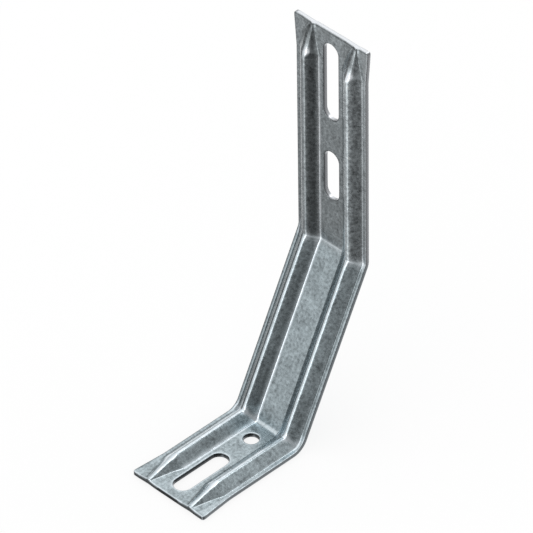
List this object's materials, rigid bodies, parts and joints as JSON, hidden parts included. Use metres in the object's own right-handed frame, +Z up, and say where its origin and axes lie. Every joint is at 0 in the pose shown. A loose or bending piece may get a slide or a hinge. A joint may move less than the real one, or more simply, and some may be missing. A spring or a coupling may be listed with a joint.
{
  "type": "angle bracket",
  "caption": "Ribbed angle bracket folded from one strip of galvanised sheet steel, with a slotted foot, a sloping web and a slotted upright leg for fixing bolts.",
  "frame": {"origin": "on the axis of the round hole in the foot, at the foot's underside", "axes": "+Z up along the upright leg, +X across the strip, the foot points along -Y and the leg stands at +Y"},
  "size_m": [0.04, 0.0952, 0.1811],
  "materials": {
    "galvanised_steel": "hot-dip galvanised, dull grey with a fine mottled spangle"
  },
  "bodies": {
    "root": {"angle_bracket": "galvanised_steel"}
  },
  "joints": []
}
